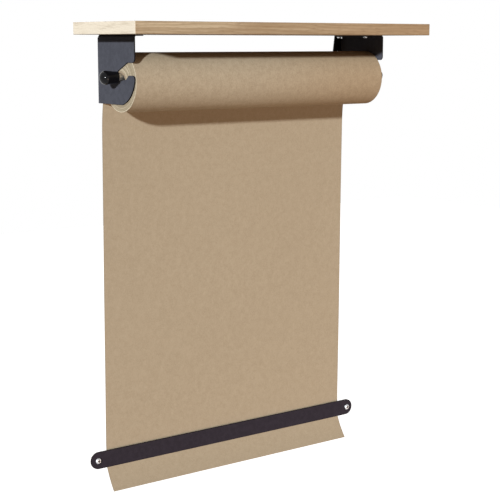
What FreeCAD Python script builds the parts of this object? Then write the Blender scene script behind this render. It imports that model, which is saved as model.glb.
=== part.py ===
"""Wall-fixed paper roll dispenser with an oak shelf on top and a flat cutter bar below.

The frame: +X runs right along the wall, +Y runs into the wall, +Z is up. The origin is the centre of the
four wall holes in the two brackets, on the wall's surface. All lengths are in millimetres.
"""
import FreeCAD, Part
import math
import os
import Sketcher
from FreeCAD import Placement, Rotation, Vector

doc = FreeCAD.newDocument("paper_dispenser")

# Driving dimensions
SIZES = [
    # paper roll and its core
    ("paper_width", 500),
    ("roll_diameter", 92),
    ("core_bore", 28),
    ("core_wall", 3),
    ("roll_to_wall", 20.5),
    ("roll_to_shelf", 26.6),
    ("roll_below_holes", 15),
    # gaps that keep neighbours apart
    ("running_gap", 0.3),
    ("fit_gap", 0.05),
    ("roll_end_gap", 0.5),
    # oak shelf
    ("shelf_overhang", 41.5),
    ("shelf_depth", 182),
    ("shelf_thickness", 19),
    ("shelf_edge_round", 0.8),
    # bent steel brackets
    ("plate_thickness", 2),
    ("bracket_drop", 34),
    ("bend_inside_round", 2),
    ("bend_relief", 0.5),
    ("top_flange_width", 18),
    ("top_flange_corner", 5),
    ("back_flange_top_width", 14.2),
    ("back_flange_foot_width", 28),
    ("wall_hole_diameter", 5.5),
    ("wall_hole_pitch", 56),
    ("wall_hole_inset", 7),
    # hook slot in each bracket, its heights above the rod's axis and its runs as shares of the depth
    ("slot_depth", 44.5),
    ("roof_height", 22.8),
    ("roof_run_share", 0.539),
    ("roof_drop_at_seat", 14.2),
    ("roof_front_round", 6),
    ("seat_back_round", 5),
    ("floor_run_share", 0.461),
    ("floor_drop", 2.9),
    ("floor_round", 4),
    ("nose_run_share", 0.618),
    ("nose_height", 3.3),
    ("nose_back_round", 3),
    ("nose_front_round", 6.2),
    ("belly_height", 3.5),
    ("belly_run_share", 0.17),
    ("belly_round", 48.5),
    # pan-head screws that hold the shelf
    ("shelf_screw_front", 79),
    ("shelf_screw_back", 9),
    ("shelf_screw_inset", 10.5),
    ("shelf_screw_shank", 4),
    ("shelf_screw_neck", 3.6),
    ("shelf_screw_hole", 4.4),
    ("shelf_screw_head", 8),
    ("shelf_screw_head_height", 2.8),
    ("shelf_screw_length", 16),
    ("shelf_screw_point", 3.5),
    ("pilot_extra_depth", 0.6),
    # roller rod
    ("rod_diameter", 12),
    ("rod_chamfer", 0.6),
    ("stud_diameter", 8),
    ("stud_length", 14),
    ("knob_gap", 4.5),
    # turned knobs with a threaded insert, the two rounds of their dome as shares of the diameter
    ("knob_length", 29),
    ("knob_diameter", 21.6),
    ("knob_neck_diameter", 18.4),
    ("knob_edge_share", 0.37),
    ("knob_crown_share", 0.556),
    ("insert_diameter", 12),
    ("insert_flange_diameter", 14),
    ("insert_flange_thickness", 1),
    ("insert_length", 15),
    # hanging sheet of paper
    ("sheet_thickness", 0.3),
    ("sheet_leave_angle", 14),
    ("sheet_from_wall", 8),
    ("sheet_bend_round", 320),
    ("sheet_low_from_wall", 2.6),
    ("sheet_low_above_bar", 32),
    ("sheet_lip_round", 10),
    ("sheet_lip_angle", 23),
    ("sheet_tail_round", 150),
    ("sheet_tail_angle", 38.2),
    # cutter bar, its spacers and its wall screws
    ("bar_overhang", 31.4),
    ("bar_height", 28.5),
    ("bar_thickness", 3),
    ("bar_edge_chamfer", 0.4),
    ("bar_below_roll", 616.6),
    ("bar_hole_inset", 12.9),
    ("bar_hole_diameter", 5),
    ("spacer_diameter", 14),
    ("spacer_bore", 5),
    ("spacer_thickness", 5),
    ("bar_screw_shank", 4.5),
    ("bar_screw_neck", 4),
    ("bar_screw_head", 10),
    ("bar_screw_head_height", 3.2),
    ("bar_screw_length", 25),
    ("bar_screw_point", 6),
    # cross recess in every screw head, as shares of the head
    ("recess_arm_share", 0.3),
    ("recess_width_share", 0.13),
    ("recess_depth_share", 0.55),
    ("head_flat_share", 0.3),
    ("head_edge_share", 0.35),
]

sheet = doc.addObject("Spreadsheet::Sheet", "sizes")
for row, (alias, number) in enumerate(SIZES, start=1):
    sheet.set("A%d" % row, alias)
    sheet.set("B%d" % row, str(number))
    sheet.setAlias("B%d" % row, alias)
doc.recompute()

# Places that several pieces share, as expressions of the sheet
AXIS_Y = "(-sizes.roll_diameter / 2 - sizes.roll_to_wall)"
AXIS_Z = "(-sizes.roll_below_holes)"
CORE_OUTER = "(sizes.core_bore + 2 * sizes.core_wall)"
ROD_Z = "(%s + (sizes.core_bore - sizes.rod_diameter) / 2 - sizes.running_gap)" % AXIS_Z
INNER_X = "(sizes.paper_width / 2 + sizes.roll_end_gap)"
OUTER_X = "(%s + sizes.plate_thickness)" % INNER_X
SHELF_Z = "(%s + sizes.roll_diameter / 2 + sizes.roll_to_shelf)" % AXIS_Z
FOOT_Z = "(%s - sizes.bracket_drop)" % AXIS_Z
WALL_HOLE_X = "(%s - sizes.wall_hole_inset)" % INNER_X
SHELF_SCREW_X = "(%s - sizes.shelf_screw_inset)" % INNER_X
KNOB_X = "(%s + sizes.knob_gap)" % OUTER_X
BAR_Z = "(%s - sizes.bar_below_roll)" % AXIS_Z
BAR_BACK_Y = "(-sizes.spacer_thickness)"
BAR_END_X = "(sizes.paper_width / 2 + sizes.bar_overhang)"
BAR_SCREW_X = "(%s - sizes.bar_hole_inset)" % BAR_END_X


def value(expression):
    """The number that an expression of the sheet gives now."""
    number = sheet.evalExpression(expression)
    return float(getattr(number, "Value", number))


def new_body(label):
    body = doc.addObject("PartDesign::Body", label)
    body.Label = label
    return body


def new_sketch(body, role, name, offset=None):
    """A sketch on one of the body's own origin planes, moved along its normal by an expression."""
    plane = [f for f in body.Origin.OriginFeatures if f.Role == role][0]
    sketch = body.newObject("Sketcher::SketchObject", body.Label + "_" + name)
    sketch.AttachmentSupport = [(plane, "")]
    sketch.MapMode = "FlatFace"
    if offset:
        sketch.setExpression("AttachmentOffset.Base.z", offset)
    return sketch


def bind(sketch, constraint, expression):
    index = sketch.addConstraint(constraint)
    sketch.setExpression("Constraints[%d]" % index, expression)


def signed_distance(sketch, kind, geometry, end, expression):
    """Ties one end of a piece of geometry to the sketch's origin along one axis."""
    bind(sketch, Sketcher.Constraint(kind, -1, 1, geometry, end, value(expression)), expression)


def outline(sketch, corners, arcs=None):
    """A closed outline through corners, given as pairs of expressions.

    arcs maps the index of a corner to (radius expression, +1 or -1): the stretch from that corner to the next
    is then an arc, with its centre to the left (+1) or right (-1) of the way it runs.
    """
    arcs = arcs or {}
    points = [Vector(value(a), value(b), 0) for a, b in corners]
    first = None
    for index, start in enumerate(points):
        end = points[(index + 1) % len(points)]
        if index in arcs:
            radius, side = arcs[index]
            length = value(radius)
            half = (end - start) * 0.5
            across = Vector(-half.y, half.x, 0).normalize()
            centre = start + half + across * side * math.sqrt(max(length ** 2 - half.Length ** 2, 0))
            ends = (start, end) if side > 0 else (end, start)
            angles = [math.atan2(p.y - centre.y, p.x - centre.x) for p in ends]
            circle = Part.Circle(centre, Vector(0, 0, 1), length)
            number = sketch.addGeometry(Part.ArcOfCircle(circle, angles[0], angles[1]), False)
            bind(sketch, Sketcher.Constraint("Radius", number, length), radius)
            head, tail = (1, 2) if side > 0 else (2, 1)
        else:
            number = sketch.addGeometry(Part.LineSegment(start, end), False)
            head, tail = 1, 2
        signed_distance(sketch, "DistanceX", number, head, corners[index][0])
        signed_distance(sketch, "DistanceY", number, head, corners[index][1])
        if first is None:
            first = (number, head)
        else:
            sketch.addConstraint(Sketcher.Constraint("Coincident", last[0], last[1], number, head))
        last = (number, tail)
    sketch.addConstraint(Sketcher.Constraint("Coincident", last[0], last[1], first[0], first[1]))


def ring(sketch, x, y, diameter):
    """A full circle at a place given by expressions."""
    circle = Part.Circle(Vector(value(x), value(y), 0), Vector(0, 0, 1), value(diameter) / 2)
    number = sketch.addGeometry(circle, False)
    signed_distance(sketch, "DistanceX", number, 3, x)
    signed_distance(sketch, "DistanceY", number, 3, y)
    bind(sketch, Sketcher.Constraint("Diameter", number, value(diameter)), diameter)


def pad(body, sketch, length, reverse=False):
    feature = body.newObject("PartDesign::Pad", sketch.Name + "_pad")
    feature.Profile = sketch
    feature.setExpression("Length", length)
    feature.Reversed = reverse
    doc.recompute()
    return feature


def pocket(body, sketch, length, reverse=False):
    """A cut that has to take something away."""
    before = body.Shape.Volume
    feature = body.newObject("PartDesign::Pocket", sketch.Name + "_pocket")
    feature.Profile = sketch
    feature.setExpression("Length", length)
    feature.Reversed = reverse
    doc.recompute()
    if not body.Shape.Volume < before:
        raise RuntimeError(feature.Name + " cuts nothing")
    return feature


def revolve(body, sketch, axis):
    feature = body.newObject("PartDesign::Revolution", sketch.Name + "_turned")
    feature.Profile = sketch
    feature.ReferenceAxis = (sketch, [axis])
    feature.Angle = 360
    doc.recompute()
    return feature


def soften(body, kind, name, size, picked):
    """A fillet or chamfer, of a size in the sheet, on the edges that the function picked accepts."""
    base = body.Tip
    edges = ["Edge%d" % (n + 1) for n, edge in enumerate(base.Shape.Edges) if picked(edge)]
    if not edges:
        raise RuntimeError("no edge for " + name)
    feature = body.newObject("PartDesign::" + kind, body.Label + "_" + name)
    feature.Base = (base, edges)
    feature.setExpression("Radius" if kind == "Fillet" else "Size", size)
    doc.recompute()
    return feature


def near(first, second):
    return abs(first - second) < value("sizes.fit_gap")


def runs_along_x_at(edge, y, z):
    """True for an edge parallel to X through a place in the YZ plane."""
    return all(near(vertex.Y, y) and near(vertex.Z, z) for vertex in edge.Vertexes)


def place(body, x=None, y=None, z=None, turn=None):
    """Puts a body made about its own origin at a place given by expressions."""
    if turn:
        body.Placement = Placement(Vector(0, 0, 0), turn)
    for axis, expression in (("x", x), ("y", y), ("z", z)):
        if expression:
            body.setExpression("Placement.Base." + axis, expression)
    doc.recompute()


def shelf_board():
    """Solid oak board that lies on the brackets, its back edge on the wall, with blind pilot holes below."""
    body = new_body("shelf_board")
    blank = new_sketch(body, "XY_Plane", "outline", SHELF_Z)
    end = "(%s + sizes.shelf_overhang)" % OUTER_X
    outline(blank, [("-" + end, "-sizes.shelf_depth"), (end, "-sizes.shelf_depth"), (end, "0"), ("-" + end, "0")])
    pad(body, blank, "sizes.shelf_thickness")
    soften(body, "Fillet", "edges", "sizes.shelf_edge_round", lambda edge: True)
    holes = new_sketch(body, "XY_Plane", "pilots", SHELF_Z)
    for side in ("-", ""):
        for setback in ("sizes.shelf_screw_front", "sizes.shelf_screw_back"):
            ring(holes, side + SHELF_SCREW_X, "-" + setback, "sizes.shelf_screw_shank + 2 * sizes.fit_gap")
    depth = "sizes.shelf_screw_length - sizes.plate_thickness + sizes.pilot_extra_depth"
    pocket(body, holes, depth, reverse=True)
    return body


def bracket(label, side):
    """Bent steel bracket: a side plate with a hook slot, a back flange on the wall and a top flange under the shelf."""
    body = new_body(label)
    sign = "-" if side < 0 else ""
    plate_start = "-" + OUTER_X if side < 0 else INNER_X

    def forward(run):
        return "(%s - %s)" % (AXIS_Y, run)

    def part_way(share):
        return forward("sizes.slot_depth * sizes." + share)

    def up(rise):
        return "(%s + %s)" % (ROD_Z, rise)

    seat = "(sizes.rod_diameter / 2 + sizes.running_gap)"
    reach = forward("sizes.slot_depth")
    roof_seat = "(sizes.roof_height - sizes.roof_drop_at_seat)"
    notch = "(sizes.plate_thickness + sizes.bend_inside_round + sizes.bend_relief)"
    below_notch = "(%s - %s)" % (SHELF_Z, notch)
    corners = [
        ("0", below_notch),
        ("-" + notch, below_notch),
        ("-" + notch, SHELF_Z),
        (reach, SHELF_Z),
        (reach, up("sizes.roof_height")),
        (part_way("roof_run_share"), up("sizes.roof_height")),
        (forward("(-%s)" % seat), up(roof_seat)),
        (forward("(-%s)" % seat), up("0")),
        (forward("0"), up("(-%s)" % seat)),
        (part_way("floor_run_share"), up("(-sizes.floor_drop)")),
        (part_way("nose_run_share"), up("sizes.nose_height")),
        (reach, up("sizes.nose_height")),
        (reach, up("(-sizes.belly_height)")),
        (part_way("belly_run_share"), FOOT_Z),
        ("0", FOOT_Z),
    ]
    arcs = {7: (seat, -1), 12: ("sizes.belly_round", 1)}
    plate = new_sketch(body, "YZ_Plane", "plate", plate_start)
    outline(plate, corners, arcs)
    pad(body, plate, "sizes.plate_thickness")

    for index, name, size in (
            (4, "roof_front", "sizes.roof_front_round"), (6, "seat_back", "sizes.seat_back_round"),
            (9, "floor_end", "sizes.floor_round"), (10, "nose_back", "sizes.nose_back_round"),
            (11, "nose_front", "sizes.nose_front_round")):
        y, z = value(corners[index][0]), value(corners[index][1])
        soften(body, "Fillet", name, size, lambda edge: runs_along_x_at(edge, y, z))

    back = new_sketch(body, "XZ_Plane", "back")
    top_edge = "(%s - sizes.back_flange_top_width)" % INNER_X
    foot_edge = "(%s - sizes.back_flange_foot_width)" % INNER_X
    past_bend = "(%s - sizes.bend_inside_round - sizes.bend_relief)" % INNER_X
    outline(back, [(sign + OUTER_X, FOOT_Z), (sign + foot_edge, FOOT_Z), (sign + top_edge, SHELF_Z),
                   (sign + past_bend, SHELF_Z), (sign + past_bend, below_notch), (sign + OUTER_X, below_notch)])
    for half in ("sizes.wall_hole_pitch / 2", "-sizes.wall_hole_pitch / 2"):
        ring(back, sign + WALL_HOLE_X, half, "sizes.wall_hole_diameter")
    pad(body, back, "sizes.plate_thickness")

    top = new_sketch(body, "XY_Plane", "top", "%s - sizes.plate_thickness" % SHELF_Z)
    edge_x = "(%s - sizes.top_flange_width)" % INNER_X
    cut_x = "(%s + sizes.top_flange_corner)" % edge_x
    cut_y = "(%s + sizes.top_flange_corner)" % reach
    outline(top, [(sign + OUTER_X, "-" + notch), (sign + edge_x, "-" + notch), (sign + edge_x, cut_y),
                  (sign + cut_x, reach), (sign + OUTER_X, reach)])
    for setback in ("sizes.shelf_screw_front", "sizes.shelf_screw_back"):
        ring(top, sign + SHELF_SCREW_X, "-" + setback, "sizes.shelf_screw_hole")
    pad(body, top, "sizes.plate_thickness")

    outer_x, inner_x = side * value(OUTER_X), side * value(INNER_X)
    thickness = value("sizes.plate_thickness")

    def bend(plate_x, depth):
        """Picks the long corners on one side of the plate where the two flanges fold away from it."""
        def picked(edge):
            if not all(near(vertex.X, plate_x) for vertex in edge.Vertexes):
                return False
            on_back = all(near(vertex.Y, -depth) for vertex in edge.Vertexes)
            return on_back or all(near(vertex.Z, value(SHELF_Z) - depth) for vertex in edge.Vertexes)
        return picked

    soften(body, "Fillet", "bends_outside", "sizes.bend_inside_round + sizes.plate_thickness", bend(outer_x, 0))
    soften(body, "Fillet", "bends_inside", "sizes.bend_inside_round", bend(inner_x, thickness))
    return body


def screw(label, kind, grip, x, y, z, turn):
    """Pan-head screw with a cross recess, turned about its own +Z, which points out of the head.

    Its plain neck goes through what it holds, grip deep, and the thread beyond is a cylinder of its outer size.
    """
    body = new_body(label)
    head, height = "sizes.%s_head" % kind, "sizes.%s_head_height" % kind
    shank, neck, length, point = ("sizes.%s_%s" % (kind, part) for part in ("shank", "neck", "length", "point"))
    profile = new_sketch(body, "XZ_Plane", "profile")
    edge = "%s * sizes.head_edge_share" % height
    flat = "%s * sizes.head_flat_share" % head
    outline(profile, [("0", "-" + length), (shank + " / 2", "%s - %s" % (point, length)),
                      (shank + " / 2", "-(%s)" % grip), (neck + " / 2", "-(%s)" % grip), (neck + " / 2", "0"),
                      (head + " / 2", "0"), (head + " / 2", edge), (flat, height), ("0", height)],
            {6: (head + " / 2", 1)})
    revolve(body, profile, "V_Axis")
    cross = new_sketch(body, "XY_Plane", "recess", height)
    arm = "%s * sizes.recess_arm_share" % head
    half = "%s * sizes.recess_width_share / 2" % head
    quarter = [(arm, half), (half, half), (half, arm)]
    corners = list(quarter)
    corners += [("-" + b, a) for a, b in quarter]
    corners += [("-" + a, "-" + b) for a, b in quarter]
    corners += [(b, "-" + a) for a, b in quarter]
    outline(cross, corners)
    pocket(body, cross, "%s * sizes.recess_depth_share" % height)
    place(body, x, y, z, turn)
    return body


def shelf_screws():
    """Four screws driven up through the top flanges into the shelf."""
    under_flange = "%s - sizes.plate_thickness" % SHELF_Z
    head_down = Rotation(Vector(1, 0, 0), 180)
    for side, sign in (("left", "-"), ("right", "")):
        for end in ("front", "back"):
            screw("%s_%s_shelf_screw" % (side, end), "shelf_screw", "sizes.plate_thickness",
                  sign + SHELF_SCREW_X, "-sizes.shelf_screw_" + end, under_flange, head_down)


def roller_rod():
    """Steel rod that lies in both hook slots, with a threaded stud turned on each end."""
    body = new_body("roller_rod")
    profile = new_sketch(body, "XY_Plane", "profile")
    radius, stud = "sizes.rod_diameter / 2", "sizes.stud_diameter / 2"
    step = "(%s - sizes.rod_chamfer)" % KNOB_X
    tip = "(%s + sizes.stud_length)" % KNOB_X
    tip_start = "(%s - sizes.rod_chamfer)" % tip
    right = [(KNOB_X, "%s - sizes.rod_chamfer" % radius), (KNOB_X, stud), (tip_start, stud),
             (tip, "%s - sizes.rod_chamfer" % stud), (tip, "0")]
    left = [("-" + x, y) for x, y in reversed(right)]
    outline(profile, left + [("-" + step, radius), (step, radius)] + right)
    revolve(body, profile, "H_Axis")
    place(body, None, AXIS_Y, ROD_Z)


def knob(label, side):
    """Knob that tapers towards the bracket and has a domed end, with a blind socket for its insert."""
    body = new_body(label)
    profile = new_sketch(body, "XY_Plane", "profile")
    socket = "(sizes.insert_diameter / 2 + sizes.fit_gap)"
    seat = "(sizes.insert_flange_diameter / 2 + sizes.fit_gap)"
    neck, wide = "(sizes.knob_neck_diameter / 2)", "(sizes.knob_diameter / 2)"
    length, crown = "sizes.knob_length", "(sizes.knob_crown_share * sizes.knob_diameter)"
    edge = "(sizes.knob_edge_share * sizes.knob_diameter)"
    depth = "(sizes.insert_length + sizes.fit_gap)"
    ledge = "(sizes.insert_flange_thickness + sizes.fit_gap)"
    # the edge's arc touches the crown's arc from inside, so their centres and that touch lie on one line
    across, along = "(%s - %s)" % (wide, edge), "(%s - %s)" % (crown, edge)
    inward = "sqrt(%s ^ 2 - %s ^ 2)" % (along, across)
    shoulder = "(%s - %s + %s)" % (length, crown, inward)
    touch_x = "(%s - %s + %s * %s / %s)" % (length, crown, crown, inward, along)
    touch_y = "(%s * %s / %s)" % (crown, across, along)
    outline(profile, [
        ("0", seat), (ledge, seat), (ledge, socket), (depth, socket), (depth, "0"), (length, "0"),
        (touch_x, touch_y), (shoulder, wide), ("0", neck)],
        {5: (crown, 1), 6: (edge, 1)})
    revolve(body, profile, "H_Axis")
    place(body, ("-" if side < 0 else "") + KNOB_X, AXIS_Y, ROD_Z, Rotation(Vector(0, 0, 1), 180 if side < 0 else 0))


def knob_insert(label, side):
    """Brass bush pressed into a knob, with a flange at its mouth and a bore for the rod's stud."""
    body = new_body(label)
    profile = new_sketch(body, "XY_Plane", "profile")
    bore = "(sizes.stud_diameter / 2 + sizes.fit_gap)"
    outline(profile, [
        ("0", bore), ("sizes.insert_length", bore), ("sizes.insert_length", "sizes.insert_diameter / 2"),
        ("sizes.insert_flange_thickness", "sizes.insert_diameter / 2"),
        ("sizes.insert_flange_thickness", "sizes.insert_flange_diameter / 2"),
        ("0", "sizes.insert_flange_diameter / 2")])
    revolve(body, profile, "H_Axis")
    place(body, ("-" if side < 0 else "") + KNOB_X, AXIS_Y, ROD_Z, Rotation(Vector(0, 0, 1), 180 if side < 0 else 0))


def tube(label, outer, bore, width, role="YZ_Plane"):
    """Plain ring, padded both ways from the middle plane."""
    body = new_body(label)
    face = new_sketch(body, role, "section", "-(%s) / 2" % width)
    ring(face, "0", "0", outer)
    ring(face, "0", "0", bore)
    pad(body, face, width)
    return body


def paper_roll():
    """Cardboard core and the paper wound on it, hanging on the rod by the core's bore."""
    core = tube("core_tube", CORE_OUTER, "sizes.core_bore", "sizes.paper_width")
    place(core, None, AXIS_Y, AXIS_Z)
    wound = tube("paper_roll", "sizes.roll_diameter", "%s + 2 * sizes.fit_gap" % CORE_OUTER, "sizes.paper_width")
    place(wound, None, AXIS_Y, AXIS_Z)


def forward_arc(start, way, radius, angle):
    """An arc in the YZ plane that turns forward from a place and a way: its edge, its end and its way there."""
    forward = Vector(0, way.z, -way.y)

    def after(part):
        return start + way * (radius * math.sin(part)) + forward * (radius * (1 - math.cos(part)))

    return Part.Arc(start, after(angle / 2), after(angle)).toShape(), after(angle), (
        way * math.cos(angle) + forward * math.sin(angle))


def sheet_path():
    """The sheet's middle line in the YZ plane, from the back of the roll down behind the bar to its curled end."""
    angle = math.radians(value("sizes.sheet_leave_angle"))
    half, gap = value("sizes.sheet_thickness") / 2, value("sizes.running_gap")
    off_roll = value("sizes.roll_diameter") / 2 + gap + half
    leave = Vector(0, value(AXIS_Y) + off_roll * math.cos(angle), value(AXIS_Z) + off_roll * math.sin(angle))
    down = Vector(0, math.sin(angle), -math.cos(angle))

    def down_to(y):
        return leave + down * ((y - leave.y) / down.y)

    # the solid starts where its front stays clear of the roll's back while it slides down
    start = down_to(value(AXIS_Y) + off_roll - half * (1 - math.cos(angle)))
    knee = down_to(-value("sizes.sheet_from_wall"))
    low = Vector(0, -value("sizes.sheet_low_from_wall"), value(BAR_Z) + value("sizes.sheet_low_above_bar"))
    slope = (low - knee).normalize()
    turn = down.getAngle(slope)
    cut = value("sizes.sheet_bend_round") * math.tan(turn / 2)
    bend_start = knee - down * cut
    straight = Part.LineSegment(start, bend_start).toShape()
    knee_arc, bend_end, way = forward_arc(bend_start, down, value("sizes.sheet_bend_round"), turn)
    fall = Part.LineSegment(bend_end, low).toShape()

    # from there it comes forward to the bar's lower edge, turns about it and ends in an open curl
    lip = Vector(0, value(BAR_BACK_Y) + gap + half, value(BAR_Z) - value("sizes.bar_height") / 2)
    swing = way.getAngle(lip - low)
    reach, lip_start, way = forward_arc(low, way, (lip - low).Length / (2 * math.sin(swing)), 2 * swing)
    lean = math.atan2(-way.y, -way.z)
    lip_angle, tail_angle = (math.radians(value("sizes.sheet_%s_angle" % name)) for name in ("lip", "tail"))
    lip_arc, tail_start, way = forward_arc(lip_start, way, value("sizes.sheet_lip_round"), lip_angle - lean)
    tail = forward_arc(tail_start, way, value("sizes.sheet_tail_round"), tail_angle - lip_angle)[0]
    return [straight, knee_arc, fall, reach, lip_arc, tail]


def hanging_paper():
    """Sheet of paper between the roll and its free end below the bar, as an even thickness about its path."""
    width, thickness = value("sizes.paper_width"), value("sizes.sheet_thickness")
    path = Part.Wire(sheet_path())
    print("hanging sheet: width %.1f, length %.1f" % (width, path.Length))
    ribbons = [path.makeOffset2D(side * thickness / 2, 2, False, True) for side in (-1, 1)]
    ends = [[wire.OrderedVertexes[0].Point, wire.OrderedVertexes[-1].Point] for wire in ribbons]
    if (ends[0][0] - ends[1][0]).Length > (ends[0][0] - ends[1][1]).Length:
        ends[1].reverse()
    caps = [Part.LineSegment(a, b).toShape() for a, b in zip(*ends)]
    wire = Part.Wire(Part.__sortEdges__(ribbons[0].Edges + ribbons[1].Edges + caps))
    solid = Part.Face(wire).extrude(Vector(width, 0, 0))
    feature = doc.addObject("Part::Feature", "hanging_paper")
    feature.Label = "hanging_paper"
    feature.Shape = solid
    feature.Placement = Placement(Vector(-width / 2, 0, 0), Rotation())


def cutter_bar():
    """Flat steel bar with round ends and two screw holes, across the sheet."""
    body = new_body("cutter_bar")
    face = new_sketch(body, "XZ_Plane", "outline", "sizes.spacer_thickness")
    straight = "(%s - sizes.bar_height / 2)" % BAR_END_X
    low, high = "(%s - sizes.bar_height / 2)" % BAR_Z, "(%s + sizes.bar_height / 2)" % BAR_Z
    half = "(sizes.bar_height / 2)"
    outline(face, [("-" + straight, low), (straight, low), (BAR_END_X, BAR_Z), (straight, high),
                   ("-" + straight, high), ("-" + BAR_END_X, BAR_Z)],
            {1: (half, 1), 2: (half, 1), 4: (half, 1), 5: (half, 1)})
    for sign in ("-", ""):
        ring(face, sign + BAR_SCREW_X, BAR_Z, "sizes.bar_hole_diameter")
    pad(body, face, "sizes.bar_thickness")
    front = value(BAR_BACK_Y) - value("sizes.bar_thickness")

    def rim(edge):
        """Edges of the front face, apart from the two holes, which are closed."""
        return not edge.isClosed() and all(near(vertex.Y, front) for vertex in edge.Vertexes)

    soften(body, "Chamfer", "front_edges", "sizes.bar_edge_chamfer", rim)


def bar_fixings():
    """A spacer behind each end of the bar, and the screw that goes through both into the wall."""
    head_out = Rotation(Vector(1, 0, 0), 90)
    front = "%s - sizes.bar_thickness" % BAR_BACK_Y
    for side, sign in (("left", "-"), ("right", "")):
        spacer = tube(side + "_bar_spacer", "sizes.spacer_diameter", "sizes.spacer_bore", "sizes.spacer_thickness",
                      "XZ_Plane")
        place(spacer, sign + BAR_SCREW_X, "%s / 2" % BAR_BACK_Y, BAR_Z)
        screw(side + "_bar_screw", "bar_screw", "sizes.bar_thickness + sizes.spacer_thickness",
              sign + BAR_SCREW_X, front, BAR_Z, head_out)


def write_parts():
    """Checks every object and writes each sub-part to a file named after it."""
    doc.recompute()
    failed = [o.Name for o in doc.Objects if "Invalid" in o.State or "Error" in o.State]
    if failed:
        raise RuntimeError("failed objects: " + ", ".join(failed))
    os.makedirs("parts", exist_ok=True)
    pieces = [o for o in doc.Objects if o.TypeId == "PartDesign::Body" or o.Label == "hanging_paper"]
    for piece in pieces:
        shape = piece.Shape
        if shape.isNull() or not shape.isValid() or not shape.Solids:
            raise RuntimeError("bad shape: " + piece.Label)
        shape.exportStep("parts/%s.step" % piece.Label)
        box = shape.BoundBox
        print("%-24s %d solid  x %.1f %.1f  y %.1f %.1f  z %.1f %.1f" % (
            piece.Label, len(shape.Solids), box.XMin, box.XMax, box.YMin, box.YMax, box.ZMin, box.ZMax))


shelf_board()
bracket("left_bracket", -1)
bracket("right_bracket", 1)
shelf_screws()
roller_rod()
for side_name, side_sign in (("left", -1), ("right", 1)):
    knob(side_name + "_knob", side_sign)
    knob_insert(side_name + "_knob_insert", side_sign)
paper_roll()
hanging_paper()
cutter_bar()
bar_fixings()
write_parts()
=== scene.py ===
"""Dressing, light and camera of the wall-mounted paper dispenser, in metres in its own frame."""
import math

import bpy
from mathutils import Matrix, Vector, noise


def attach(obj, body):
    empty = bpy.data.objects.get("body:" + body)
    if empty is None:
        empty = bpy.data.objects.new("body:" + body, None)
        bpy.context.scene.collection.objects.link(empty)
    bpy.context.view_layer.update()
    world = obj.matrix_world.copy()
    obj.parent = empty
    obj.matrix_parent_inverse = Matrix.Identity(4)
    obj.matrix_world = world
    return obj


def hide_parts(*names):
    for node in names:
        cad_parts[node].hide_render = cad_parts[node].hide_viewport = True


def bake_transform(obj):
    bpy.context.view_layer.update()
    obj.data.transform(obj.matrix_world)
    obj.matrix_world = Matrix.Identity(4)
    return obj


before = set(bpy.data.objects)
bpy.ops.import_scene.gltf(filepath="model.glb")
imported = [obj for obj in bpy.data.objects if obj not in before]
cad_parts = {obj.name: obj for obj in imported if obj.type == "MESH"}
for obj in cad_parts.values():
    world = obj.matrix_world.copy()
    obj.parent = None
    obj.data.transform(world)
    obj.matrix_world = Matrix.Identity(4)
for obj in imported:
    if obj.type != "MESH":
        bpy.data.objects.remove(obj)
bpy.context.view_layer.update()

# Sizes and places of the model that the scene needs again
HALF_WIDTH = 0.250
ROLL_Y, ROLL_Z, ROLL_RADIUS = -0.0665, -0.015, 0.046
CORE_RADIUS = 0.01705
BAR_BACK_Y, BAR_Z, BAR_HALF_HEIGHT, BAR_SCREW_X = -0.005, -0.6316, 0.01425, 0.2685
SOLID_SHEET = 0.0003
SHELF_BOTTOM = 0.0576

# The visual sheet's thickness, and its path from the top of the roll to its free end.
# Angles on the roll are taken from the level line behind its axis, and leans from straight down.
PAPER = 0.0002
LEAVE_ANGLE, WRAP_ANGLE, WRAP_STEPS = math.radians(14.0), math.radians(62.0), 12
LEAVE_LIFT, START_SINK = 0.00005, 0.00022
WALL_BEND_Y, WALL_BEND_RADIUS = -0.008, 0.320
LOW_Y, LOW_ABOVE_BAR = -0.0026, 0.032
BAR_GAP = 0.0003
CURL_RADIUS, CURL_LEAN = 0.010, math.radians(23.0)
END_RADIUS, END_LEAN = 0.150, math.radians(38.2)
UPPER_PIECE_ENDS = -0.190
SHARP_ANGLE = math.radians(40.0)

# How the hanging sheet waves: from which height to which, how far, and how long the slow wave is
WAVE_TOP, WAVE_LOW, WAVE_DEPTH, WAVE_LENGTH = -0.075, -0.575, 0.0010, 0.46

# Colours of the coats and metals
# the edge colours of the two coats are painted shade for the plates' cut edges
BRACKET_COAT, BRACKET_EDGE_SHADE = (0.0635, 0.0655, 0.0795), (0.008, 0.007, 0.008)
BAR_COAT, BAR_EDGE_SHADE = (0.0275, 0.0230, 0.0308), (0.012, 0.007, 0.006)
ROD_STEEL, INSERT_BRASS = (0.76, 0.73, 0.66), (0.71, 0.53, 0.25)
BRIGHT_PLATE, BAR_SCREW_PLATE = (0.62, 0.63, 0.65), (0.54, 0.55, 0.57)
# a painted shade for the screw heads' cross recesses
RECESS_PAINTED_SHADE = (0.05, 0.048, 0.046)
KNOB_BLACK, KNOB_SCRATCH = (0.005, 0.005, 0.006), (0.035, 0.035, 0.04)

# Colours of the oak
# the first two oak colours after the mean paint a falloff of light along the shelf, lit at its left
# end and dim at its right
OAK_MEAN, OAK_PAINTED_LIT, OAK_PAINTED_DIM = (0.44, 0.31, 0.18), (0.575, 0.470, 0.318), (0.392, 0.268, 0.158)
OAK_PALE, OAK_DARK, OAK_PORE = (0.54, 0.41, 0.26), (0.285, 0.187, 0.100), (0.16, 0.095, 0.048)
# a painted shade for the shelf's underside
OAK_PAINTED_UNDER_SHADE = (0.10, 0.062, 0.034)
# the pale end colour is partly the end grain's own colour and partly a painted sheen
END_PALE_AND_SHEEN, END_DARK = (0.84, 0.745, 0.60), (0.62, 0.525, 0.40)
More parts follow.
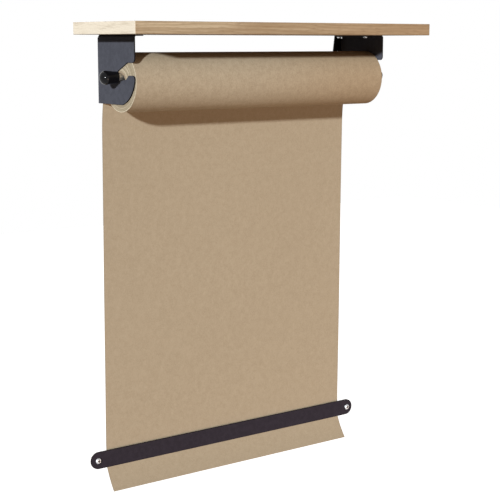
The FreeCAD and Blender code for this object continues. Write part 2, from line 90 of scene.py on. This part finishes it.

# Colours of the paper, the edges of its turns and its core
# the sheet's side colour is a painted shade for its edges
PAPER_TONE, SHEET_EDGE_SHADE = (0.415, 0.340, 0.238), (0.17, 0.145, 0.115)
SHEET_DARK, SHEET_LIGHT = (0.365, 0.293, 0.200), (0.470, 0.392, 0.280)
ROLL_DARK, ROLL_LIGHT = (0.338, 0.270, 0.184), (0.510, 0.428, 0.307)
# a painted falloff of light along the roll
ROLL_PAINTED_FALLOFF = (0.93, 0.86, 0.79)
# the rim colour is a painted highlight on the edges of the roll's outer turns
EDGE_PALE, EDGE_DARK, EDGE_RIM_HIGHLIGHT = (0.63, 0.535, 0.385), (0.345, 0.278, 0.187), (0.76, 0.67, 0.505)
CORE_MEAN, CORE_DARK, CORE_LIGHT = (0.36, 0.27, 0.18), (0.31, 0.23, 0.155), (0.42, 0.325, 0.225)
CORE_PLY, CORE_SEAM = (0.19, 0.13, 0.08), (0.15, 0.10, 0.06)


# Materials

def times(color, factor):
    return tuple(factor * part for part in color)


class Finish:
    """One procedural material: a Principled shader and the nodes that feed it.

    Its textures lie in the object's own space.
    """

    def __init__(self, name, color, roughness, metallic=0.0, **sockets):
        self.material = bpy.data.materials.new(name)
        self.material.use_nodes = True
        self.tree = self.material.node_tree
        self.shader = self.tree.nodes["Principled BSDF"]
        self.set("Base Color", (*color, 1.0))
        self.set("Roughness", roughness)
        self.set("Metallic", metallic)
        for socket, number in sockets.items():
            self.set(socket.replace("_", " "), number)
        self.place = self.node("ShaderNodeTexCoord").outputs["Object"]
        self.bumped = None

    def node(self, kind, **settings):
        made = self.tree.nodes.new(kind)
        for key, setting in settings.items():
            setattr(made, key, setting)
        return made

    def feed(self, socket, given):
        """Links another node's socket to this one, or gives it a constant."""
        if isinstance(given, bpy.types.NodeSocket):
            self.tree.links.new(given, socket)
        else:
            socket.default_value = given

    def set(self, socket, given):
        self.feed(self.shader.inputs[socket], given)

    def math(self, operation, *given):
        made = self.node("ShaderNodeMath", operation=operation)
        for socket, one in zip(made.inputs, given):
            self.feed(socket, one)
        return made.outputs[0]

    def inverse(self, given):
        return self.math("SUBTRACT", 1.0, given)

    def scaled(self, x, y, z, place=None):
        """The place with each axis multiplied, for a texture with that many cells to the metre."""
        made = self.node("ShaderNodeVectorMath", operation="MULTIPLY")
        self.feed(made.inputs[0], place or self.place)
        made.inputs[1].default_value = (x, y, z)
        return made.outputs[0]

    def grain(self, x, y=None, z=None, detail=2.0, roughness=0.5, distortion=0.0, place=None):
        """Noise from 0 to 1 with so many cells to the metre along each axis."""
        made = self.node("ShaderNodeTexNoise")
        self.feed(made.inputs["Vector"], self.scaled(x, y or x, z or x, place))
        made.inputs["Scale"].default_value = 1.0
        made.inputs["Detail"].default_value = detail
        made.inputs["Roughness"].default_value = roughness
        made.inputs["Distortion"].default_value = distortion
        return made.outputs[0]

    def range(self, given, start, end, at_start=0.0, at_end=1.0):
        """A smooth step from one number to another, as the given one goes from start to end."""
        made = self.node("ShaderNodeMapRange", interpolation_type="SMOOTHSTEP")
        for socket, one in zip(made.inputs, (given, start, end, at_start, at_end)):
            self.feed(socket, one)
        return made.outputs[0]

    def blend(self, share, first, second, kind="MIX"):
        """One colour turned into another by a share. Colours are sockets or triples."""
        made = self.node("ShaderNodeMix", data_type="RGBA", blend_type=kind)
        self.feed(made.inputs[0], share)
        for socket, one in ((made.inputs[6], first), (made.inputs[7], second)):
            self.feed(socket, one if isinstance(one, bpy.types.NodeSocket) else (*one, 1.0))
        return made.outputs[2]

    def lay(self, under, over, mask, share):
        """One colour over another, with that share where the mask is one and none where it is 0."""
        return self.blend(self.math("MULTIPLY", mask, share), under, over)

    def relief(self, height, depth):
        """A bump of that depth in metres, on top of the ones before it."""
        made = self.node("ShaderNodeBump")
        made.inputs["Strength"].default_value = 1.0
        made.inputs["Distance"].default_value = depth
        self.feed(made.inputs["Height"], height)
        if self.bumped:
            self.feed(made.inputs["Normal"], self.bumped)
        self.bumped = made.outputs[0]
        self.set("Normal", self.bumped)

    def parts(self):
        """The place's X, Y and Z."""
        made = self.node("ShaderNodeSeparateXYZ")
        self.feed(made.inputs[0], self.place)
        return made.outputs

    def facing(self, axis, start, end):
        """One on faces that look along an axis, either way, and zero on those that look aside."""
        made = self.node("ShaderNodeSeparateXYZ")
        self.feed(made.inputs[0], self.node("ShaderNodeNewGeometry").outputs["Normal"])
        return self.range(self.math("ABSOLUTE", made.outputs[axis]), start, end)

    def length(self, first, second):
        """The length of a step of two parts at a right angle."""
        squares = (self.math("POWER", part, 2.0) for part in (first, second))
        return self.math("SQRT", self.math("ADD", *squares))

    def distance_from_line(self, y, z):
        """Distance from the line along X through that Y and Z."""
        _, at_y, at_z = self.parts()
        return self.length(self.math("SUBTRACT", at_y, y), self.math("SUBTRACT", at_z, z))


def oak():
    """Oiled oak: flat-sawn growth rings, long streaks and pores, and a paler end grain that also
    carries a painted sheen.
    """
    heart_y, heart_z, rings_per_metre, waver = -0.060, -0.190, 210.0, 11.0
    made = Finish("oiled_oak", OAK_MEAN, 0.55, Specular_IOR_Level=0.15)
    wobble = made.grain(2.6, 9.0, 9.0, detail=3.0)
    rings = made.math("MULTIPLY", made.distance_from_line(heart_y, heart_z), rings_per_metre)
    year = made.math("FRACT", made.math("ADD", rings, made.math("MULTIPLY", wobble, waver)))
    late = made.range(year, 0.45, 0.95)
    early = made.range(year, 0.0, 0.16, 1.0, 0.0)
    growth = made.math("MAXIMUM", late, early)
    streaks = made.grain(5.0, 200.0, 200.0, detail=4.0, roughness=0.58, distortion=0.1)
    patches = made.grain(6.0, 70.0, 70.0)
    fine = made.grain(40.0, 1000.0, 1000.0, detail=3.0, roughness=0.6)
    pores = made.range(made.grain(60.0, 2000.0, 2000.0, detail=1.0), 0.58, 0.68)
    pores = made.math("MULTIPLY", pores, made.range(year, 0.75, 0.2, 0.3, 1.0))
    x, _, z = made.parts()
    # painted light falloff: the oak is made lighter at its left end and darker towards its right
    # end
    color = made.blend(made.range(x, -0.22, 0.27), OAK_PAINTED_LIT, OAK_PAINTED_DIM)
    color = made.lay(color, OAK_DARK, made.range(patches, 0.42, 0.68), 0.55)
    color = made.lay(color, OAK_DARK, growth, 0.50)
    color = made.lay(color, OAK_DARK, made.range(streaks, 0.46, 0.66), 0.60)
    color = made.lay(color, OAK_PALE, made.range(fine, 0.35, 0.65), 0.25)
    color = made.lay(color, OAK_PORE, pores, 0.6)
    # the end grain is paler, partly its own colour and partly a painted sheen of light, and shows
    # the rings as lines
    dots = made.range(made.grain(900.0, detail=1.0), 0.55, 0.68)
    rays = made.grain(60.0, 24.0, 330.0, detail=5.0, roughness=0.62)
    ends = made.lay(END_PALE_AND_SHEEN, END_DARK, growth, 0.16)
    ends = made.lay(ends, END_DARK, made.range(rays, 0.48, 0.66), 0.70)
    ends = made.lay(ends, OAK_DARK, dots, 0.15)
    color = made.blend(made.facing(0, 0.6, 0.8), color, ends)
    # painted shade: the underside and the lower edges round it are made darker
    under = made.range(z, SHELF_BOTTOM + 0.0003, SHELF_BOTTOM + 0.0012, 0.60, 0.0)
    made.set("Base Color", made.blend(under, color, OAK_PAINTED_UNDER_SHADE))
    made.set("Roughness", made.range(streaks, 0.3, 0.7, 0.62, 0.50))
    made.relief(growth, 0.00004)
    made.relief(made.inverse(pores), 0.00007)
    return made.material


def powder_coat(name, color, edge_shade, across):
    """Fine-textured powder coat, with a painted shade on the plate's cut edges.

    across is the axis that the plate's broad faces look along.
    """
    made = Finish(name, color, 0.6, Specular_IOR_Level=0.04)
    peel = made.grain(620.0)
    sand = made.grain(2200.0, detail=3.0, roughness=0.65)
    clouds = made.grain(110.0, detail=4.0, roughness=0.6)
    tone = made.lay(color, times(color, 1.7), made.range(sand, 0.35, 0.65), 0.6)
    tone = made.lay(tone, times(color, 0.6), made.range(clouds, 0.35, 0.65), 0.3)
    # painted shade: faces that look aside from the broad faces, the cut edges, get the dark edge
    # colour
    made.set("Base Color", made.blend(made.facing(across, 0.55, 0.85), edge_shade, tone))
    made.set("Roughness", made.range(sand, 0.3, 0.7, 0.52, 0.70))
    made.relief(peel, 0.00005)
    made.relief(sand, 0.00003)
    return made.material


def turned_metal(name, color, low, high):
    """Metal turned about X, rough from low to high: fine lines round it, faint handling marks."""
    made = Finish(name, color, low, metallic=1.0)
    lines = made.grain(3200.0, 60.0, 60.0, detail=3.0, roughness=0.7)
    marks = made.grain(160.0, detail=4.0, roughness=0.6)
    made.set("Base Color", made.blend(made.range(marks, 0.35, 0.75), color, times(color, 0.8)))
    made.set("Roughness", made.range(lines, 0.3, 0.7, low, high))
    made.relief(lines, 0.000012)
    return made.material


def plated(name, color, low, high):
    """Plated screw or spacer: a soft cloud of roughness, from low to high, and shallow pits."""
    made = Finish(name, color, low, metallic=1.0)
    clouds = made.grain(900.0, detail=3.0)
    pits = made.range(made.grain(3500.0, detail=1.0), 0.58, 0.70)
    tone = made.lay(color, times(color, 0.55), pits, 0.4)
    made.set("Base Color", tone)
    made.set("Roughness", made.range(clouds, 0.3, 0.7, low, high))
    made.relief(made.inverse(pits), 0.00001)
    return made, tone


def bar_screw_plate():
    """The same plating, with a painted shade in and about a head's cross recess."""
    recess_floor, head_back = (-0.0107, -0.0100), (-0.0081, -0.0079)
    recess_reach, shaded_reach = (0.0033, 0.0037), (0.0016, 0.0026)
    made, tone = plated("nickel_plate_head", BAR_SCREW_PLATE, 0.26, 0.42)
    x, y, z = made.parts()
    off_axis = made.length(made.math("SUBTRACT", made.math("ABSOLUTE", x), BAR_SCREW_X),
                           made.math("SUBTRACT", z, BAR_Z))
    # painted shade: dark in the recess and near the head's middle, fading out towards its back, and
    # less metallic there
    in_recess = made.range(off_axis, *recess_reach, 1.0, 0.0)
    deep = made.math("MULTIPLY", made.range(y, *recess_floor), in_recess)
    painted_shade = made.math("MAXIMUM", deep, made.range(off_axis, *shaded_reach, 0.95, 0.0))
    painted_shade = made.math("MULTIPLY", painted_shade, made.range(y, *head_back, 1.0, 0.0))
    made.set("Base Color", made.blend(painted_shade, tone, RECESS_PAINTED_SHADE))
    made.set("Metallic", made.inverse(made.math("MULTIPLY", painted_shade, 0.7)))
    return made.material


def polished_plastic():
    """Polished black plastic with faint smears and hairline scratches."""
    made = Finish("polished_black", KNOB_BLACK, 0.09, Specular_IOR_Level=0.14)
    smears = made.grain(140.0, detail=3.0)
    scratches = made.range(made.grain(300.0, 4200.0, 4200.0, detail=1.0), 0.62, 0.72)
    made.set("Roughness", made.range(smears, 0.35, 0.7, 0.07, 0.12))
    made.set("Base Color", made.lay(KNOB_BLACK, KNOB_SCRATCH, scratches, 0.2))
    made.relief(made.inverse(scratches), 0.000004)
    return made.material


def kraft(name, dark, light, web_grain):
    """Brown wrapping paper: clouds of pulp, fibres along the web and a few dark specks."""
    made = Finish(name, PAPER_TONE, 0.82, Specular_IOR_Level=0.1)
    clouds = made.grain(110.0, detail=5.0, roughness=0.68)
    pulp = made.grain(420.0, detail=3.0, roughness=0.6)
    fibres = made.grain(*times(web_grain, 4.0), detail=4.0, roughness=0.65, distortion=0.6)
    web = made.grain(*web_grain)
    specks = made.range(made.grain(1500.0, detail=1.0), 0.68, 0.76)
    tone = made.blend(made.range(clouds, 0.28, 0.72, 0.25, 0.75), dark, light)
    tone = made.lay(tone, light, made.range(pulp, 0.42, 0.62), 0.55)
    tone = made.lay(tone, PAPER_TONE, made.range(web, 0.35, 0.65), 0.30)
    tone = made.lay(tone, dark, made.range(fibres, 0.48, 0.68), 0.55)
    tone = made.lay(tone, times(dark, 0.45), specks, 0.45)
    made.set("Roughness", made.range(pulp, 0.3, 0.7, 0.72, 0.86))
    made.relief(fibres, 0.00003)
    made.relief(pulp, 0.00004)
    return made, tone


def sheet_paper():
    """The hanging sheet, whose web runs down and whose side edges get a painted shade."""
    made, tone = kraft("kraft_sheet", SHEET_DARK, SHEET_LIGHT, (260.0, 260.0, 60.0))
    x = made.math("ABSOLUTE", made.parts()[0])
    # painted shade along the sheet's side edges
    side = made.range(x, HALF_WIDTH - 0.0015, HALF_WIDTH - 0.0004, 0.0, 0.30)
    made.set("Base Color", made.blend(side, tone, SHEET_EDGE_SHADE))
    return made.material


def rolled_paper():
    """The same paper on the roll, where the ends show the edges of its turns as fine pale rings."""
    made, tone = kraft("kraft_roll", ROLL_DARK, ROLL_LIGHT, (260.0, 60.0, 60.0))
    # painted light falloff: the paper is made darker towards the roll's right end
    tone = made.blend(made.range(made.parts()[0], -0.08, 0.24), tone, ROLL_PAINTED_FALLOFF, "MULTIPLY")
    # the rings' texture depends on the radius, with a little sideways drift
    radius = made.distance_from_line(ROLL_Y, ROLL_Z)
    wound = made.node("ShaderNodeCombineXYZ")
    made.feed(wound.inputs[0], radius)
    made.feed(wound.inputs[1], made.math("MULTIPLY", made.grain(14.0), 0.004))
    rings = made.grain(2600.0, detail=4.0, roughness=0.75, place=wound.outputs[0])
    bands = made.grain(260.0, detail=3.0, roughness=0.65, place=wound.outputs[0])
    dust = made.grain(420.0, detail=4.0, roughness=0.65)
    edge = made.blend(made.range(bands, 0.40, 0.60), EDGE_DARK, EDGE_PALE)
    edge = made.lay(edge, EDGE_DARK, made.range(rings, 0.42, 0.60), 0.45)
    edge = made.lay(edge, times(EDGE_DARK, 0.85), made.range(dust, 0.44, 0.62), 0.62)
    # painted highlight: the ends are made paler close to the roll's outer rim
    rim_highlight = made.range(radius, ROLL_RADIUS - 0.0016, ROLL_RADIUS - 0.0008)
    edge = made.lay(edge, EDGE_RIM_HIGHLIGHT, rim_highlight, 0.8)
    on_end = made.facing(0, 0.55, 0.8)
    made.set("Base Color", made.blend(on_end, tone, edge))
    made.relief(made.math("MULTIPLY", rings, on_end), 0.00010)
    return made.material


def core_board():
    """Wound grey board: plies on its ends and the line of the spiral along it."""
    spiral_pitch, plies_per_metre = 0.09, 1500.0
    made = Finish("core_board", CORE_MEAN, 0.85, Specular_IOR_Level=0.2)
    x, y, z = made.parts()
    angle = made.math("ARCTAN2", made.math("SUBTRACT", z, ROLL_Z), made.math("SUBTRACT", y, ROLL_Y))
    turn = made.math("DIVIDE", angle, 2.0 * math.pi)
    spiral = made.math("FRACT", made.math("ADD", made.math("DIVIDE", x, spiral_pitch), turn))
    seam = made.range(spiral, 0.0, 0.018, 1.0, 0.0)
    depth = made.math("MULTIPLY", made.distance_from_line(ROLL_Y, ROLL_Z), plies_per_metre)
    plies = made.range(made.math("FRACT", depth), 0.6, 0.95)
    pulp = made.grain(500.0, detail=4.0, roughness=0.65)
    tone = made.blend(made.range(pulp, 0.3, 0.7), CORE_DARK, CORE_LIGHT)
    tone = made.lay(tone, CORE_PLY, made.math("MULTIPLY", plies, made.facing(0, 0.55, 0.8)), 0.6)
    made.set("Base Color", made.lay(tone, CORE_SEAM, seam, 0.7))
    made.relief(pulp, 0.00006)
    made.relief(made.inverse(seam), 0.0001)
    return made.material


SHEET_PAPER = sheet_paper()
ROLLED_PAPER = rolled_paper()
FINISHES = {
    "shelf_board": oak(),
    "left_bracket right_bracket":
        powder_coat("bracket_powder", BRACKET_COAT, BRACKET_EDGE_SHADE, across=0),
    "cutter_bar": powder_coat("bar_powder", BAR_COAT, BAR_EDGE_SHADE, across=1),
    "roller_rod": turned_metal("turned_rod", ROD_STEEL, 0.38, 0.50),
    "left_knob right_knob": polished_plastic(),
    "left_knob_insert right_knob_insert": turned_metal("turned_brass", INSERT_BRASS, 0.20, 0.32),
    "core_tube": core_board(),
    "left_front_shelf_screw left_back_shelf_screw right_front_shelf_screw right_back_shelf_screw":
        plated("nickel_plate", BRIGHT_PLATE, 0.26, 0.42)[0].material,
    "left_bar_screw right_bar_screw": bar_screw_plate(),
    "left_bar_spacer right_bar_spacer": plated("zinc_plate", BRIGHT_PLATE, 0.30, 0.45)[0].material,
}
for names, finish in FINISHES.items():
    for name in names.split():
        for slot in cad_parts[name].material_slots:
            slot.material = finish


# Paper

def mesh_piece(name, points, faces, material):
    mesh = bpy.data.meshes.new(name)
    mesh.from_pydata(points, [], faces)
    mesh.validate()
    mesh.materials.append(material)
    piece = bpy.data.objects.new(name, mesh)
    bpy.context.scene.collection.objects.link(piece)
    return piece


def smooth(piece):
    """Shades a piece smoothly but for its sharp edges."""
    piece.data.shade_smooth()
    piece.data.set_sharp_from_angle(angle=SHARP_ANGLE)


def arc(start, way, radius, angle, steps):
    """Places and ways along an arc that turns forward, without its first place."""
    forward = Vector((way.y, -way.x))
    row = []
    for step in range(1, steps + 1):
        turned = angle * step / steps
        along, aside = radius * math.sin(turned), radius * (1 - math.cos(turned))
        row.append((start + way * along + forward * aside,
                    way * math.cos(turned) + forward * math.sin(turned)))
    return row


def run(start, end, way, steps):
    """Places and ways along a straight stretch, without its first place."""
    return [(start.lerp(end, step / steps), way) for step in range(1, steps + 1)]


def sheet_line():
    """The sheet's middle line in (Y, Z) with its way, from the top of the roll to the free end."""
    axis = Vector((ROLL_Y, ROLL_Z))
    line = []
    for step in range(WRAP_STEPS + 1):
        before_leaving = 1 - step / WRAP_STEPS
        angle = LEAVE_ANGLE + WRAP_ANGLE * before_leaving
        radius = ROLL_RADIUS + LEAVE_LIFT - START_SINK * before_leaving ** 2
        out = Vector((math.cos(angle), math.sin(angle)))
        line.append((axis + out * radius, Vector((math.sin(angle), -math.cos(angle)))))
    # down towards the wall, a wide bend, and down again, almost upright
    leave, down = line[-1]
    knee = leave + down * ((WALL_BEND_Y - leave.x) / down.x)
    low = Vector((LOW_Y, BAR_Z + LOW_ABOVE_BAR))
    fall = (low - knee).normalized()
    turn = down.angle(fall)
    bend_start = knee - down * (WALL_BEND_RADIUS * math.tan(turn / 2))
    line += run(leave, bend_start, down, 4)
    line += arc(bend_start, down, WALL_BEND_RADIUS, turn, 12)
    line += run(line[-1][0], low, fall, 90)
    # forward to the bar's lower edge, then a tight curl about it and a wide one to the end
    lip = Vector((BAR_BACK_Y + BAR_GAP + SOLID_SHEET / 2, BAR_Z - BAR_HALF_HEIGHT))
    swing = fall.angle(lip - low)
    line += arc(low, fall, (lip - low).length / (2 * math.sin(swing)), 2 * swing, 16)
    start, way = line[-1]
    lean = math.atan2(-way.x, -way.y)
    line += arc(start, way, CURL_RADIUS, CURL_LEAN - lean, 10)
    start, way = line[-1]
    line += arc(start, way, END_RADIUS, END_LEAN - CURL_LEAN, 14)
    return line


def wave(x, z):
    """How far the hanging sheet stands forward of its line, so that it isn't a flat board."""
    share = (WAVE_TOP - z) / (WAVE_TOP - WAVE_LOW)
    if share <= 0 or share >= 1:
        return 0.0
    hold = math.sin(math.pi * share) ** 0.8
    slow = math.sin(2 * math.pi * (x / WAVE_LENGTH + 0.35 * share) + 0.6) * 0.45
    soft = noise.noise(Vector((x * 5.0, 3.1, z * 3.2))) * 0.9
    return -WAVE_DEPTH * hold * (slow + soft + 0.45)


def sheet_piece(name, line):
    """A closed thin sheet about a stretch of the line, and the stretch's length."""
    columns = 72
    front, back = [], []
    for place, way in line:
        out = Vector((way.y, -way.x))
        for column in range(columns + 1):
            x = HALF_WIDTH * (2 * column / columns - 1)
            middle = place + Vector((wave(x, place.y), 0.0))
            for points, side in ((front, 1), (back, -1)):
                at = middle + out * (side * PAPER / 2)
                points.append((x, at.x, at.y))
    rows, across, shift = len(line), columns + 1, len(front)
    faces = []
    for row in range(rows - 1):
        for column in range(columns):
            a = row * across + column
            faces.append((a, a + across, a + across + 1, a + 1))
            faces.append((a + shift, a + 1 + shift, a + across + 1 + shift, a + across + shift))

    def close(a, b, flip):
        """Joins the front's edge from a to b with the back's."""
        quad = (a, a + shift, b + shift, b)
        faces.append(quad[::-1] if flip else quad)

    for row in range(rows - 1):
        for column, flip in ((0, False), (columns, True)):
            close(row * across + column, (row + 1) * across + column, flip)
    for column in range(columns):
        for row, flip in ((0, True), (rows - 1, False)):
            close(row * across + column, row * across + column + 1, flip)
    piece = mesh_piece(name, front + back, faces, SHEET_PAPER)
    smooth(piece)
    return piece, sum((b[0] - a[0]).length for a, b in zip(line, line[1:]))


def end_inset(radius, angle, side):
    """How far the paper's end lies in from the full width, by turns, groups of turns and angle."""
    turn = noise.noise(Vector((radius * 620.0, side * 4.0, 0.0)))
    group = noise.noise(Vector((radius * 190.0, side * 7.0, 1.0)))
    around = math.cos(angle) * 0.9, math.sin(angle) * 0.9 + side
    drift = noise.noise(Vector((radius * 60.0, *around)))
    return max(0.00016 + 0.00022 * group + 0.00012 * turn + 0.00008 * drift, 0.0)


def outer_radius(x, angle):
    """The outermost turn starts a paper's thickness lower, just past where the sheet leaves."""
    past = ((angle - LEAVE_ANGLE) % (2 * math.pi)) / (2 * math.pi)
    bands = 0.00007 * (noise.noise(Vector((x * 34.0, 2.0, 0.0))) - 1.0)
    return ROLL_RADIUS - PAPER * past + bands


def wound_roll():
    """The wound paper: a spiral outside, and ends whose turns stand a little in and out of line."""
    around, rings, columns = 168, 84, 90
    points, faces, starts = [], [], []

    def ring(x_of, radius_of):
        starts.append(len(points))
        for step in range(around):
            angle = 2 * math.pi * step / around
            radius = radius_of(angle)
            y, z = ROLL_Y + radius * math.cos(angle), ROLL_Z + radius * math.sin(angle)
            points.append((x_of(radius, angle), y, z))

    def end_ring(side, share):
        """A ring on one end, at a share of the way from the core to the outside."""
        def x_of(radius, angle):
            return side * (HALF_WIDTH - end_inset(radius, angle, side))

        def radius_of(angle):
            return CORE_RADIUS + (outer_radius(side * HALF_WIDTH, angle) - CORE_RADIUS) * share

        ring(x_of, radius_of)

    for step in range(rings + 1):
        end_ring(-1, step / rings)
    for column in range(1, columns):
        x = HALF_WIDTH * (2 * column / columns - 1)
        ring(lambda radius, angle: x, lambda angle: outer_radius(x, angle))
    for step in range(rings, -1, -1):
        end_ring(1, step / rings)
    for first, second in zip(starts, starts[1:] + starts[:1]):
        for step in range(around):
            after = (step + 1) % around
            faces.append((first + step, first + after, second + after, second + step))
    piece = mesh_piece("wound_paper", points, faces, ROLLED_PAPER)
    smooth(piece)
    return piece


roll = wound_roll()
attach(roll, "roll")
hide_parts("paper_roll")

line = sheet_line()
meeting = next(index for index, (place, _) in enumerate(line) if place.y < UPPER_PIECE_ENDS)
upper, upper_length = sheet_piece("sheet_upper", line[:meeting + 1])
lower, lower_length = sheet_piece("sheet_lower", line[meeting:])
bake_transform(upper)
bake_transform(lower)
for piece, length in ((upper, upper_length), (lower, lower_length)):
    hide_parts("hanging_paper")


# Stage, light and camera

def white_to_the_eye(tree, surface, seen, other):
    """Gives a surface one shader for camera, glossy and transmission rays, and one for the rest."""
    path = tree.nodes.new("ShaderNodeLightPath")
    either = path.outputs["Is Camera Ray"]
    for name in ("Is Glossy Ray", "Is Transmission Ray"):
        larger = tree.nodes.new("ShaderNodeMath")
        larger.operation = "MAXIMUM"
        tree.links.new(either, larger.inputs[0])
        tree.links.new(path.outputs[name], larger.inputs[1])
        either = larger.outputs[0]
    mix = tree.nodes.new("ShaderNodeMixShader")
    tree.links.new(either, mix.inputs[0])
    tree.links.new(other, mix.inputs[1])
    tree.links.new(seen, mix.inputs[2])
    tree.links.new(mix.outputs[0], surface)


world = bpy.data.worlds.new("studio")
bpy.context.scene.world = world
world.use_nodes = True
tree = world.node_tree
ambient = tree.nodes["Background"]
ambient.inputs["Color"].default_value = (1.0, 0.72, 0.50, 1.0)
ambient.inputs["Strength"].default_value = 0.08
white = tree.nodes.new("ShaderNodeBackground")
white.inputs["Color"].default_value = (1.0, 1.0, 1.0, 1.0)
white.inputs["Strength"].default_value = 1.0
surface = tree.nodes["World Output"].inputs["Surface"]
white_to_the_eye(tree, surface, white.outputs[0], ambient.outputs[0])

FLOOR_Z, FLOOR_HALF = -1.7, 9.0
floor_material = bpy.data.materials.new("pale_floor")
floor_material.use_nodes = True
tree = floor_material.node_tree
pale = tree.nodes["Principled BSDF"]
pale.inputs["Base Color"].default_value = (0.80, 0.79, 0.77, 1.0)
pale.inputs["Roughness"].default_value = 0.9
dim = tree.nodes.new("ShaderNodeBsdfDiffuse")
dim.inputs["Color"].default_value = (0.30, 0.23, 0.17, 1.0)
glow = tree.nodes.new("ShaderNodeEmission")
glow.inputs["Strength"].default_value = 0.9
both = tree.nodes.new("ShaderNodeAddShader")
tree.links.new(pale.outputs[0], both.inputs[0])
tree.links.new(glow.outputs[0], both.inputs[1])
surface = tree.nodes["Material Output"].inputs["Surface"]
white_to_the_eye(tree, surface, both.outputs[0], dim.outputs[0])
signs = (-1, -1), (1, -1), (1, 1), (-1, 1)
corners = [(x * FLOOR_HALF, y * FLOOR_HALF, FLOOR_Z) for x, y in signs]
floor = mesh_piece("floor", corners, [(0, 1, 2, 3)], floor_material)


def aim(thing, way):
    """Turns a lamp or camera to look along a way."""
    thing.rotation_mode = "QUATERNION"
    thing.rotation_quaternion = Vector(way).to_track_quat("-Z", "Y")


def lamp(name, kind, way, place=(0.0, 0.0, 1.0), **settings):
    data = bpy.data.lights.new(name, kind)
    for key, setting in settings.items():
        setattr(data, key, setting)
    made = bpy.data.objects.new(name, data)
    made.location = place
    aim(made, way)
    bpy.context.scene.collection.objects.link(made)
    return made


# the sun from the upper left front makes the shadows that the photo shows
lamp("key", "SUN", (1.5, 1.0, -0.42), energy=4.0, angle=math.radians(2.5), color=(0.96, 1.0, 1.03))
# a warm softbox from below fills them
lamp("low_softbox", "AREA", (-0.9, 2.6, 1.05), place=(0.9, -2.6, -1.15), energy=31.0,
     shape="RECTANGLE", size=3.0, size_y=0.8, color=(1.0, 0.70, 0.52))
# a softbox above and behind is for the shelf's top and the back, which the main view doesn't show
over = lamp("over_softbox", "AREA", (0.0, -0.62, -0.80), place=(0.0, 0.60, 0.85), energy=7.0,
            shape="RECTANGLE", size=1.2, size_y=0.5, color=(1.0, 0.95, 0.88))
over.visible_camera = False

# The camera as fitted to the photo, in radians, metres and millimetres
YAW, PITCH = 0.6415, 0.1583
CAMERA_PLACE = (-1.2957, -1.7988, 0.0457)
LENS, SENSOR = 93.6, 36.0
camera = bpy.data.objects.new("camera", bpy.data.cameras.new("camera"))
camera.data.lens = LENS
camera.data.sensor_width = SENSOR
camera.data.clip_start, camera.data.clip_end = 0.05, 60.0
camera.location = CAMERA_PLACE
aim(camera, (math.sin(YAW) * math.cos(PITCH), math.cos(YAW) * math.cos(PITCH), -math.sin(PITCH)))
bpy.context.scene.collection.objects.link(camera)
bpy.context.scene.camera = camera
bpy.context.scene.view_settings.view_transform = "Standard"
